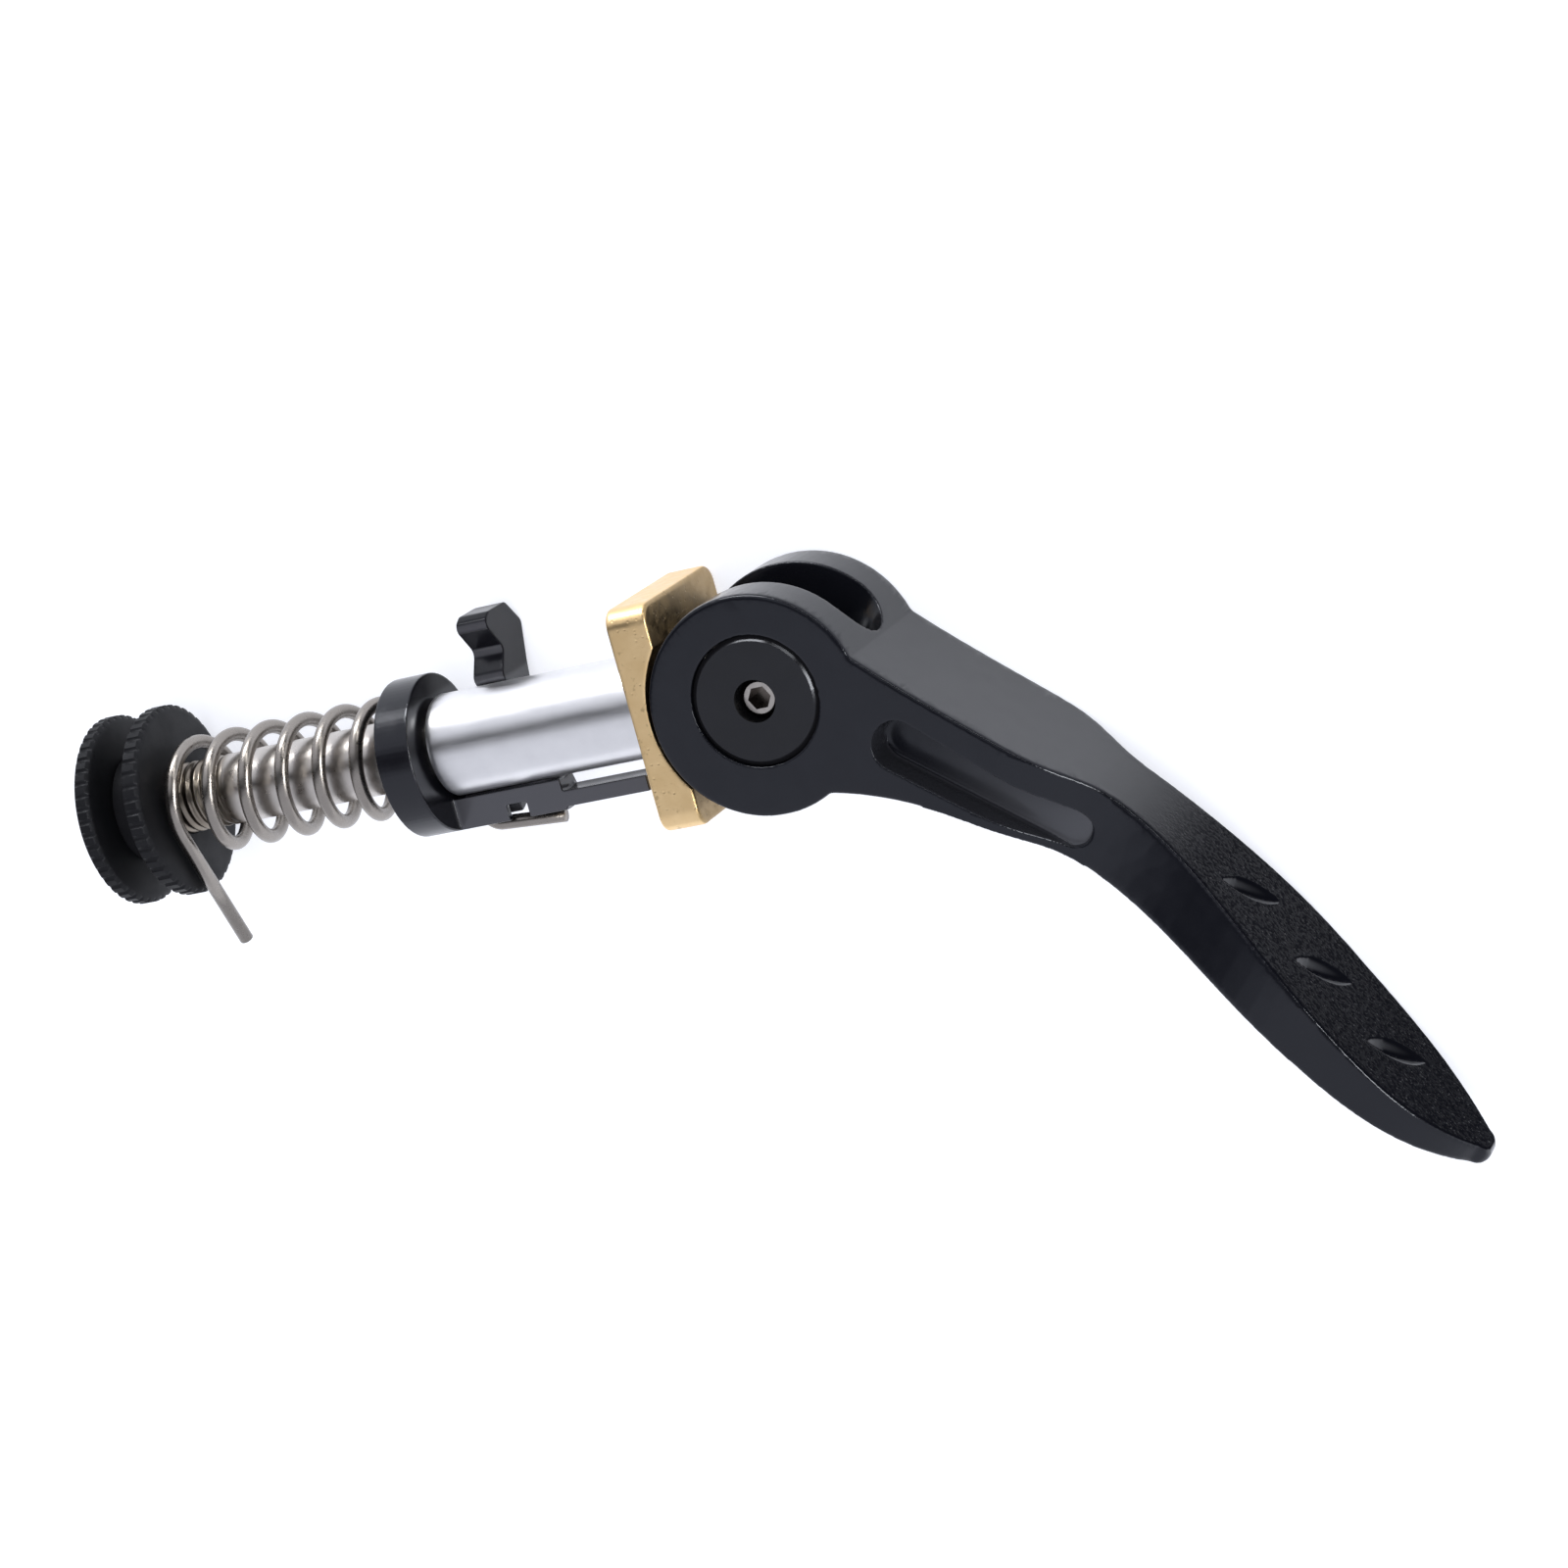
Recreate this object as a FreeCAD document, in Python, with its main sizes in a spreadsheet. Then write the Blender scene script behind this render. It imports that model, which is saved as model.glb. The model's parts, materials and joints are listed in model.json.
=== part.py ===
import FreeCAD, Part
import math
import os

import Sketcher

# Quick release seatpost clamp. X runs along the spindle from the nuts to the lever, Z along the cam pivot.
# The origin lies on the spindle axis, in the flat back of the cam saddle.

# Two edges or places are the same within this distance, and two headings above this cosine are parallel
SAME_PLACE = 1e-4
PARALLEL_RATIO = 0.99
# A sketch's circle has this radius until its expression sets it
FIRST_RADIUS = 1.0

SIZES = {
    # spindle, its thread end and the cross barrel that it screws into
    "spindle_diameter": 7.0,
    "spindle_clearance": 0.1,
    "spindle_depth": 4.8,
    "spindle_overhang": 1.2,
    "end_chamfer": 0.6,
    "barrel_diameter": 12.4,
    "barrel_clearance": 0.06,
    "barrel_chamfer": 0.5,
    "screw_diameter": 4.0,
    "screw_recess": 1.3,
    "screw_chamfer": 0.5,
    "screw_clearance": 0.03,
    "socket_width": 2.0,
    "socket_depth": 1.6,
    # cam lever
    "fork_width": 19.0,
    "slot_width": 8.4,
    "slot_reach": 5.1,
    "head_radius": 10.55,
    "cam_throw": 0.5,
    "cam_angle": 258.0,
    "lever_angle": -45.0,
    "shoulder_reach": 22.0,
    "shoulder_rise": 8.8,
    "shoulder_swell": 0.8,
    "throat_reach": 13.9,
    "throat_drop": 1.5,
    "root_angle": -35.0,
    "root_sink": 1.5,
    "waist_reach": 33.0,
    "waist_rise": 9.9,
    "waist_thickness": 7.2,
    "waist_width": 11.6,
    "paddle_reach": 57.0,
    "paddle_rise": 4.6,
    "paddle_thickness": 5.0,
    "lever_length": 78.4,
    "tip_drop": 1.2,
    "tip_thickness": 1.9,
    "tip_width": 5.0,
    "tip_blunting": 0.4,
    "pocket_start": 13.4,
    "pocket_end": 30.8,
    "pocket_start_radius": 2.4,
    "pocket_end_radius": 1.75,
    "pocket_start_rise": 4.0,
    "pocket_end_rise": 5.4,
    "pocket_web": 10.8,
    "groove_count": 3,
    "groove_first": 47.1,
    "groove_spacing": 9.5,
    "groove_depth": 0.75,
    "groove_radius": 15.0,
    "groove_flare": 1.3,
    "groove_angle": 51.0,
    # cam saddle
    "saddle_web": 1.83,
    "saddle_thickness": 4.15,
    "saddle_height": 21.7,
    "saddle_inset": 0.3,
    "saddle_corner": 1.8,
    "saddle_edge": 0.4,
    "seat_gap": 0.25,
    "seat_ease": 0.6,
    "seat_lift": 0.3,
    "sleeve_socket": 1.0,
    "socket_clearance": 0.06,
    # sleeve
    "sleeve_diameter": 10.0,
    "sleeve_reach": 23.55,
    "sleeve_chamfer": 0.5,
    "collar_gap": 0.5,
    "axial_play": 0.15,
    # catch
    "collar_diameter": 15.6,
    "collar_width": 3.65,
    "collar_drop": 0.55,
    "arm_clearance": 0.3,
    "arm_length": 11.55,
    "arm_side": 1.45,
    "arm_start_angle": 160.0,
    "arm_sweep_angle": 120.0,
    "arm_margin": 0.6,
    "bar_sweep_angle": 42.0,
    "tongue_length": 8.9,
    "tongue_gap": 0.65,
    "tongue_trim": 0.3,
    "tongue_sweep_angle": 36.0,
    "hook_offset": 3.85,
    "hook_thickness": 3.3,
    "hook_height": 11.6,
    "hook_back": 9.4,
    "hook_waist": 8.2,
    "hook_bulge": 9.2,
    "hook_root": 1.5,
    "hook_round": 0.8,
    "base_height": 5.4,
    "base_front": 2.1,
    "neck_height": 7.7,
    "neck_front": 3.9,
    "beak_height": 10.8,
    "beak_front": 1.1,
    "brow_front": 2.8,
    "brow_length": 4.1,
    "window_offset": 5.35,
    "window_length": 2.2,
    "window_depth": 1.7,
    # torsion spring
    "wire_diameter": 1.4,
    "spring_diameter": 12.0,
    "spring_length": 25.4,
    "coil_count": 6,
    "leg_length": 14.0,
    "leg_angle": 116.0,
    "bend_radius": 1.6,
    "tail_angle": 184.0,
    "cross_length": 2.3,
    "tail_start": 2.9,
    "tail_step": 1.35,
    "tail_reach": 10.25,
    "step_angle": 40.0,
    "tail_slope_angle": 3.5,
    "wire_room": 0.5,
    # nuts
    "nut_diameter": 19.0,
    "nut_rim": 2.0,
    "boss_diameter": 10.6,
    "boss_length": 3.5,
    "lock_rim": 1.8,
    "rim_chamfer": 0.35,
}


def make_sheet(doc):
    sheet = doc.addObject("Spreadsheet::Sheet", "sizes")
    for row, (alias, value) in enumerate(SIZES.items(), start=1):
        sheet.set("A%d" % row, alias)
        sheet.set("B%d" % row, str(value))
        sheet.setAlias("B%d" % row, alias)
    doc.recompute()
    return sheet


doc = FreeCAD.newDocument("seatpost_clamp")
sheet = make_sheet(doc)


def size(alias):
    return float(sheet.get(alias))


# Places along the spindle, as expressions on the sheet
BARREL_X = ("(sizes.saddle_web + sizes.seat_gap + sizes.head_radius"
            " - sizes.cam_throw * cos(sizes.cam_angle * 1 deg))")
SLEEVE_LEFT = "(-sizes.sleeve_reach)"
COLLAR_LEFT = "(-sizes.sleeve_reach - sizes.collar_gap - sizes.collar_width)"
NUT_RIGHT = "(%s - sizes.spring_length)" % COLLAR_LEFT
NUT_LEFT = "(%s - sizes.nut_rim)" % NUT_RIGHT
LOCK_RIGHT = "(%s - sizes.boss_length - sizes.axial_play)" % NUT_LEFT
LOCK_LEFT = "(%s - sizes.lock_rim)" % LOCK_RIGHT
BORE = "(sizes.spindle_diameter + 2 * sizes.spindle_clearance)"


def barrel_x():
    cam_angle = math.radians(size("cam_angle"))
    head_x = size("saddle_web") + size("seat_gap") + size("head_radius")
    return head_x - size("cam_throw") * math.cos(cam_angle)


def collar_right():
    return -size("sleeve_reach") - size("collar_gap")


def collar_left():
    return collar_right() - size("collar_width")


def new_body(name):
    body = doc.addObject("PartDesign::Body", name)
    body.Label = name
    return body


def new_sketch(body, name, role, offset=None):
    plane = next(feature for feature in body.Origin.OriginFeatures if feature.Role == role)
    sketch = body.newObject("Sketcher::SketchObject", name)
    sketch.AttachmentSupport = [(plane, "")]
    sketch.MapMode = "FlatFace"
    if offset:
        sketch.setExpression("AttachmentOffset.Base.z", offset)
    return sketch


def circle_sketch(body, name, role, diameter, offset=None):
    sketch = new_sketch(body, name, role, offset)
    centre = FreeCAD.Vector(0, 0, 0)
    sketch.addGeometry(Part.Circle(centre, FreeCAD.Vector(0, 0, 1), FIRST_RADIUS), False)
    sketch.addConstraint(Sketcher.Constraint("Coincident", 0, 3, -1, 1))
    index = sketch.addConstraint(Sketcher.Constraint("Diameter", 0, 2 * FIRST_RADIUS))
    sketch.setExpression("Constraints[%d]" % index, diameter)
    return sketch


def pad_disc(body, name, role, diameter, length, offset=None, midplane=False):
    sketch = circle_sketch(body, name + "_outline", role, diameter, offset)
    pad = body.newObject("PartDesign::Pad", name)
    pad.Profile = sketch
    pad.setExpression("Length", length)
    pad.Midplane = midplane
    doc.recompute()
    return pad


def bore_through(body, name, role, diameter):
    sketch = circle_sketch(body, name + "_outline", role, diameter)
    pocket = body.newObject("PartDesign::Pocket", name)
    pocket.Profile = sketch
    pocket.Type = "ThroughAll"
    pocket.Midplane = True
    doc.recompute()
    return pocket


def bore_blind(body, name, role, diameter, depth, offset):
    """A bore from the plane at the offset towards the plane's back."""
    sketch = circle_sketch(body, name + "_outline", role, diameter, offset)
    pocket = body.newObject("PartDesign::Pocket", name)
    pocket.Profile = sketch
    pocket.setExpression("Length", depth)
    doc.recompute()
    return pocket


def chamfer_circles(body, name, width, radius, places, axis):
    """Chamfers the circular edges of one radius that lie at the given places along an axis."""
    base = body.Tip
    picked = []
    for index, edge in enumerate(base.Shape.Edges, start=1):
        curve = edge.Curve
        if not isinstance(curve, Part.Circle) or abs(curve.Radius - radius) > SAME_PLACE:
            continue
        if any(abs(curve.Center[axis] - place) < SAME_PLACE for place in places):
            picked.append("Edge%d" % index)
    chamfer = body.newObject("PartDesign::Chamfer", name)
    chamfer.Base = (base, picked)
    chamfer.setExpression("Size", width)
    doc.recompute()
    return chamfer


def make_spindle():
    body = new_body("spindle")
    length = "(%s + sizes.spindle_depth - %s + sizes.spindle_overhang)" % (BARREL_X, LOCK_LEFT)
    start = "(%s - sizes.spindle_overhang)" % LOCK_LEFT
    pad_disc(body, "rod", "YZ_Plane", "sizes.spindle_diameter", length, start)
    ends = [body.Shape.BoundBox.XMin, body.Shape.BoundBox.XMax]
    chamfer_circles(body, "rod_ends", "sizes.end_chamfer", size("spindle_diameter") / 2, ends, 0)
    return body


def make_pivot_barrel():
    body = new_body("pivot_barrel")
    body.setExpression("Placement.Base.x", BARREL_X)
    pad_disc(body, "cross_pin", "XY_Plane", "sizes.barrel_diameter", "sizes.fork_width", None, True)
    half = size("fork_width") / 2
    chamfer_circles(body, "pin_ends", "sizes.barrel_chamfer", size("barrel_diameter") / 2, [-half, half], 2)
    hole_end = "(sizes.spindle_depth + sizes.axial_play)"
    hole = circle_sketch(body, "spindle_hole_outline", "YZ_Plane", BORE, hole_end)
    pocket = body.newObject("PartDesign::Pocket", "spindle_hole")
    pocket.Profile = hole
    pocket.Type = "ThroughAll"
    doc.recompute()
    screw_hole = "(sizes.screw_diameter + 2 * sizes.screw_clearance)"
    half_width = "(sizes.fork_width / 2)"
    bore_blind(body, "screw_hole", "XY_Plane", screw_hole, half_width, half_width)
    return body


def make_set_screw():
    body = new_body("set_screw")
    body.setExpression("Placement.Base.x", BARREL_X)
    seat = "(sizes.spindle_diameter / 2 + sizes.screw_clearance)"
    length = "(sizes.fork_width / 2 - sizes.screw_recess - %s)" % seat
    pad_disc(body, "screw", "XY_Plane", "sizes.screw_diameter", length, seat)
    end = [size("fork_width") / 2 - size("screw_recess")]
    chamfer_circles(body, "screw_end", "sizes.screw_chamfer", size("screw_diameter") / 2, end, 2)
    top = "(sizes.fork_width / 2 - sizes.screw_recess)"
    sketch = new_sketch(body, "socket_outline", "XY_Plane", top)
    corner_count = 6
    radius = size("socket_width") / math.sqrt(3)
    points = []
    for corner in range(corner_count):
        angle = 2 * math.pi * corner / corner_count
        points.append(FreeCAD.Vector(radius * math.cos(angle), radius * math.sin(angle), 0))
    for corner in range(corner_count):
        sketch.addGeometry(Part.LineSegment(points[corner], points[(corner + 1) % corner_count]), False)
    for corner in range(corner_count):
        sketch.addConstraint(Sketcher.Constraint("Coincident", corner, 2, (corner + 1) % corner_count, 1))
    rim = sketch.addGeometry(Part.Circle(FreeCAD.Vector(0, 0, 0), FreeCAD.Vector(0, 0, 1), radius), True)
    sketch.addConstraint(Sketcher.Constraint("Coincident", rim, 3, -1, 1))
    for corner in range(corner_count):
        sketch.addConstraint(Sketcher.Constraint("PointOnObject", corner, 1, rim))
    for corner in range(1, corner_count):
        sketch.addConstraint(Sketcher.Constraint("Equal", 0, corner))
    sketch.addConstraint(Sketcher.Constraint("PointOnObject", 0, 1, -1))
    width = sketch.addConstraint(Sketcher.Constraint("Diameter", rim, 2 * radius))
    sketch.setExpression("Constraints[%d]" % width, "sizes.socket_width * 2 / sqrt(3)")
    pocket = body.newObject("PartDesign::Pocket", "hex_socket")
    pocket.Profile = sketch
    pocket.setExpression("Length", "sizes.socket_depth")
    doc.recompute()
    return body


def make_sleeve():
    body = new_body("sleeve")
    length = "(sizes.sleeve_reach + sizes.sleeve_socket)"
    pad_disc(body, "tube", "YZ_Plane", "sizes.sleeve_diameter", length, SLEEVE_LEFT)
    chamfer_circles(body, "tube_end", "sizes.sleeve_chamfer", size("sleeve_diameter") / 2,
                    [-size("sleeve_reach")], 0)
    bore_through(body, "tube_bore", "YZ_Plane", BORE)
    return body


def make_cam_saddle():
    body = new_body("cam_saddle")
    sketch = new_sketch(body, "block_outline", "XY_Plane")
    thickness = size("saddle_thickness")
    half = size("saddle_height") / 2
    corners = [FreeCAD.Vector(0, -half, 0), FreeCAD.Vector(thickness, -half, 0),
               FreeCAD.Vector(thickness, half, 0), FreeCAD.Vector(0, half, 0)]
    count = len(corners)
    for index in range(count):
        sketch.addGeometry(Part.LineSegment(corners[index], corners[(index + 1) % count]), False)
    for index in range(count):
        sketch.addConstraint(Sketcher.Constraint("Coincident", index, 2, (index + 1) % count, 1))
    for index, direction in enumerate(["Horizontal", "Vertical", "Horizontal", "Vertical"]):
        sketch.addConstraint(Sketcher.Constraint(direction, index))
    sketch.addConstraint(Sketcher.Constraint("Symmetric", 3, 1, 3, 2, -1, 1))
    wide = sketch.addConstraint(Sketcher.Constraint("DistanceX", 0, 1, 0, 2, thickness))
    high = sketch.addConstraint(Sketcher.Constraint("DistanceY", 1, 1, 1, 2, 2 * half))
    sketch.setExpression("Constraints[%d]" % wide, "sizes.saddle_thickness")
    sketch.setExpression("Constraints[%d]" % high, "sizes.saddle_height")
    pad = body.newObject("PartDesign::Pad", "block")
    pad.Profile = sketch
    pad.setExpression("Length", "sizes.fork_width - 2 * sizes.saddle_inset")
    pad.Midplane = True
    doc.recompute()
    picked = []
    for index, edge in enumerate(pad.Shape.Edges, start=1):
        if abs(edge.tangentAt(edge.FirstParameter).x) > PARALLEL_RATIO:
            picked.append("Edge%d" % index)
    rounding = body.newObject("PartDesign::Fillet", "block_corners")
    rounding.Base = (pad, picked)
    rounding.setExpression("Radius", "sizes.saddle_corner")
    doc.recompute()
    # the rims of the front and back are eased all round
    picked = []
    for index, edge in enumerate(rounding.Shape.Edges, start=1):
        if edge.BoundBox.XLength < SAME_PLACE:
            picked.append("Edge%d" % index)
    easing = body.newObject("PartDesign::Fillet", "block_edges")
    easing.Base = (rounding, picked)
    easing.setExpression("Radius", "sizes.saddle_edge")
    doc.recompute()
    seat = circle_sketch(body, "seat_outline", "XY_Plane", "(2 * (sizes.head_radius + sizes.seat_ease))")
    seat.setExpression("AttachmentOffset.Base.x", "(sizes.saddle_web + sizes.head_radius + sizes.seat_ease)")
    seat.setExpression("AttachmentOffset.Base.y",
                       "(sizes.cam_throw * sin(sizes.cam_angle * 1 deg) + sizes.seat_lift)")
    pocket = body.newObject("PartDesign::Pocket", "cam_seat")
    pocket.Profile = seat
    pocket.Type = "ThroughAll"
    pocket.Midplane = True
    doc.recompute()
    bore_through(body, "spindle_bore", "YZ_Plane", BORE)
    sleeve_bore = "(sizes.sleeve_diameter + 2 * sizes.socket_clearance)"
    socket = circle_sketch(body, "sleeve_socket_outline", "YZ_Plane", sleeve_bore)
    pocket = body.newObject("PartDesign::Pocket", "sleeve_seat")
    pocket.Profile = socket
    pocket.setExpression("Length", "sizes.sleeve_socket")
    pocket.Reversed = True
    doc.recompute()
    return body


def make_nut(name, left, rim, boss):
    """A knurled disc; the adjusting nut also has a boss towards the lock nut."""
    body = new_body(name)
    pad_disc(body, name + "_rim", "YZ_Plane", "sizes.nut_diameter", rim, left)
    places = [body.Shape.BoundBox.XMin, body.Shape.BoundBox.XMax]
    chamfer_circles(body, name + "_edges", "sizes.rim_chamfer", size("nut_diameter") / 2, places, 0)
    if boss:
        start = "(%s - sizes.boss_length)" % left
        pad_disc(body, name + "_boss", "YZ_Plane", "sizes.boss_diameter", "sizes.boss_length", start)
    bore_through(body, name + "_thread", "YZ_Plane", BORE)
    return body


def vector(x, y, z):
    return FreeCAD.Vector(x, y, z)


def sector(inner, outer, start, sweep, left, length):
    """A part ring about the spindle axis; angles run from +Y towards +Z."""
    axis = vector(1, 0, 0)
    ring = Part.makeCylinder(outer, length, vector(left, 0, 0), axis, sweep)
    ring = ring.cut(Part.makeCylinder(inner, length, vector(left, 0, 0), axis))
    # a part cylinder about X starts at +Z, a quarter turn on from +Y
    quarter_angle = 90
    ring.rotate(vector(0, 0, 0), axis, start - quarter_angle)
    return ring


def hook_plate(left, inner):
    """The hook behind the sleeve, a plate across the spindle with a beak that leans forward."""
    top = size("hook_height")
    root = -size("hook_root")
    brow = -size("brow_front")
    waist = -size("hook_waist")
    outline = [
        vector(left, root, -inner),
        vector(left, size("base_height"), -size("base_front")),
        vector(left, size("neck_height"), -size("neck_front")),
        vector(left, size("beak_height"), -size("beak_front")),
        vector(left, top, brow),
        vector(left, top, brow - size("brow_length")),
        vector(left, size("hook_bulge"), -size("hook_back")),
        vector(left, inner, waist),
        vector(left, root, (waist - inner) / 2),
    ]
    face = Part.Face(Part.makePolygon(outline + outline[:1]))
    plate = face.extrude(vector(size("hook_thickness"), 0, 0))
    rounded = []
    for edge in plate.Edges:
        along_spindle = abs(edge.tangentAt(edge.FirstParameter).x) > PARALLEL_RATIO
        if along_spindle and edge.Vertexes[0].Point.y > inner:
            rounded.append(edge)
    return plate.makeFillet(size("hook_round"), rounded)


def tail_radius():
    """The distance of the spring's tail from the spindle axis, where it enters the catch."""
    coil = (size("spring_diameter") - size("wire_diameter")) / 2
    return math.hypot(coil, size("cross_length") + size("bend_radius"))


def tail_end_x():
    return collar_right() + size("tail_reach")


def tail_room():
    """The slot under the arm for the spring's tail, and the window through the arm above the tail."""
    outer = size("collar_diameter") / 2 + size("collar_drop")
    room = size("wire_diameter") + 2 * size("wire_room")
    floor = tail_radius() - room / 2
    left = collar_left()
    length = tail_end_x() + size("wire_room") - left
    slot = Part.makeBox(length, outer, room, vector(left, floor, -room / 2))
    slot.rotate(vector(0, 0, 0), vector(1, 0, 0), size("tail_angle"))
    window_left = collar_right() + size("window_offset")
    bottom = size("window_depth") - 2 * outer
    window = Part.makeBox(size("window_length"), outer, 2 * outer, vector(window_left, bottom, -outer))
    return [slot, window]


def make_hook_catch():
    bore = size("spindle_diameter") / 2 + size("spindle_clearance")
    inner = size("sleeve_diameter") / 2 + size("arm_clearance")
    outer = size("collar_diameter") / 2
    drop = size("collar_drop")
    left = collar_left()
    right = collar_right()
    arm = size("collar_width") + size("arm_length")
    arm_start = size("arm_start_angle")
    hook_end = size("collar_width") + size("hook_offset") + size("hook_thickness") + size("arm_margin")
    collar = Part.makeCylinder(outer, size("collar_width"), vector(left, 0, 0), vector(1, 0, 0))
    shell = sector(inner - drop, outer, arm_start, size("arm_sweep_angle"), left, hook_end)
    bar = sector(inner - drop, outer, arm_start, size("bar_sweep_angle"), left, arm)
    tongue_inner = inner + size("tongue_gap")
    tongue_reach = arm + size("tongue_length")
    tongue_outer = outer - size("tongue_trim")
    tongue = sector(tongue_inner, tongue_outer, arm_start, size("tongue_sweep_angle"), left, tongue_reach)
    # the collar and its arm hang a little below the spindle axis
    for piece in (collar, shell, bar, tongue):
        piece.translate(vector(0, -drop, 0))
    hook = hook_plate(right + size("hook_offset"), inner)
    clear = Part.makeCylinder(inner, tongue_reach, vector(right, 0, 0), vector(1, 0, 0))
    # the arm is flat on its +Z side
    side = Part.makeBox(tongue_reach, 2 * outer, outer, vector(right, -2 * outer, size("arm_side")))
    hole = Part.makeCylinder(bore, size("collar_width"), vector(left, 0, 0), vector(1, 0, 0))
    catch = collar.fuse([shell, bar, tongue, hook]).removeSplitter()
    catch = catch.cut([clear, hole, side] + tail_room()).removeSplitter()
    feature = doc.addObject("Part::Feature", "hook_catch")
    feature.Shape = catch
    return feature


def bend(start, heading, leaving, radius):
    """An arc that turns a wire from one heading to another, and the point where it ends."""
    turn = heading.getAngle(leaving)
    reach = radius * math.tan(turn / 2)
    corner = start + heading * reach
    end = corner + leaving * reach
    middle = (start + end) * 0.5
    inward = (middle - corner).normalize()
    crown = corner + inward * (radius / math.cos(turn / 2) - radius)
    return Part.Edge(Part.Arc(start, crown, end)), end


def wire_along(edge, radius):
    """A round wire along one smooth edge."""
    start = edge.valueAt(edge.FirstParameter)
    heading = edge.tangentAt(edge.FirstParameter)
    profile = Part.Wire(Part.makeCircle(radius, start, heading))
    return Part.Wire(edge).makePipeShell([profile], True, True)


def bent_wire(start, headings, runs, wire):
    """Straight runs of wire with a bend before each but the first, and the point where they end."""
    pieces = []
    place = start
    for index, (heading, run) in enumerate(zip(headings, runs)):
        if index:
            arc, place = bend(place, headings[index - 1], heading, size("bend_radius"))
            pieces.append(wire_along(arc, wire))
        pieces.append(Part.makeCylinder(wire, run, place, heading))
        place = place + heading * run
    return pieces, place


def tail_heading(lean):
    """The heading of the spring's tail, along the spindle with a lean outward."""
    outward = math.radians(size("tail_angle"))
    return vector(math.cos(lean), math.sin(lean) * math.cos(outward), math.sin(lean) * math.sin(outward))


def make_torsion_spring():
    wire = size("wire_diameter") / 2
    radius = size("spring_diameter") / 2 - wire
    play = size("axial_play")
    left = collar_left() - size("spring_length") + wire + play
    right = collar_left() - wire - play
    cross = size("cross_length") + size("bend_radius")
    last_angle = size("tail_angle") + math.degrees(math.atan(cross / radius))
    turns = size("coil_count") - (last_angle - size("leg_angle")) / 360
    pitch = (right - left) / turns
    start = math.radians(size("leg_angle"))
    coil = Part.makeHelix(pitch, right - left, radius, 0, True)
    across = vector(0, math.cos(start), math.sin(start))
    axis = vector(1, 0, 0)
    turned = FreeCAD.Rotation(across, axis.cross(across), axis, "ZXY")
    coil.Placement = FreeCAD.Placement(vector(left, 0, 0), turned)
    edge = coil.Edges[0]
    first = edge.valueAt(edge.FirstParameter)
    last = edge.valueAt(edge.LastParameter)
    if first.x > last.x:
        first, last = last, first
        first_heading = edge.tangentAt(edge.LastParameter)
        last_heading = edge.tangentAt(edge.FirstParameter) * -1
    else:
        first_heading = edge.tangentAt(edge.FirstParameter) * -1
        last_heading = edge.tangentAt(edge.LastParameter)
    # the leg leaves the first turn square to the axis
    leg_heading = vector(0, first_heading.y, first_heading.z).normalize()
    leg_bend, leg_start = bend(first, first_heading, leg_heading, radius)
    leg = Part.makeCylinder(wire, size("leg_length"), leg_start, leg_heading)
    # the last turn runs out square to the axis, then the tail turns along the catch and steps outward
    cross_heading = vector(0, last_heading.y, last_heading.z).normalize()
    cross_bend, cross_start = bend(last, last_heading, cross_heading, radius)
    run_out = size("cross_length") - (cross_start - last).Length
    step = math.radians(size("step_angle"))
    slope = math.radians(size("tail_slope_angle"))
    headings = [cross_heading, tail_heading(0), tail_heading(step)]
    runs = [run_out, size("tail_start"), size("tail_step") / math.sin(step)]
    stepped, step_end = bent_wire(cross_start, headings, runs, wire)
    tail_bend, tail_start = bend(step_end, headings[-1], tail_heading(slope), size("bend_radius"))
    tail_run = (tail_end_x() - tail_start.x) / math.cos(slope)
    tail = Part.makeCylinder(wire, tail_run, tail_start, tail_heading(slope))
    pieces = [wire_along(leg_bend, wire), leg, wire_along(cross_bend, wire)] + stepped
    pieces += [wire_along(tail_bend, wire), tail]
    feature = doc.addObject("Part::Feature", "torsion_spring")
    feature.Shape = wire_along(edge, wire).fuse(pieces).removeSplitter()
    return feature


def spline(points, tangents=None):
    """A smooth curve through points, with the headings that are given by index."""
    curve = Part.BSplineCurve()
    if tangents is None:
        curve.interpolate(Points=points)
        return curve
    headings = [tangents.get(index, vector(1, 0, 0)) for index in range(len(points))]
    flags = [index in tangents for index in range(len(points))]
    curve.interpolate(Points=points, Tangents=headings, TangentFlags=flags)
    return curve


def blade_top():
    tip = size("lever_length") - size("tip_thickness") / 2
    return spline([
        vector(0, size("shoulder_rise"), 0),
        vector(size("shoulder_reach"), size("shoulder_rise") + size("shoulder_swell"), 0),
        vector(size("waist_reach"), size("waist_rise"), 0),
        vector(size("paddle_reach"), size("paddle_rise"), 0),
        vector(tip, size("tip_thickness") / 2 - size("tip_drop"), 0),
    ])


def cam_centre():
    """The centre of the round head in the lever's own directions."""
    angle = math.radians(size("cam_angle") - size("lever_angle"))
    return vector(math.cos(angle), math.sin(angle), 0) * size("cam_throw")


def blade_bottom():
    tip = size("lever_length") - size("tip_thickness") / 2
    root = math.radians(size("root_angle"))
    return spline([
        vector(tip, -size("tip_thickness") / 2 - size("tip_drop"), 0),
        vector(size("paddle_reach"), size("paddle_rise") - size("paddle_thickness"), 0),
        vector(size("waist_reach"), size("waist_rise") - size("waist_thickness"), 0),
        vector(size("throat_reach"), -size("throat_drop"), 0),
        cam_centre() + vector(math.cos(root), math.sin(root), 0) * (size("head_radius") - size("root_sink")),
    ])


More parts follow.
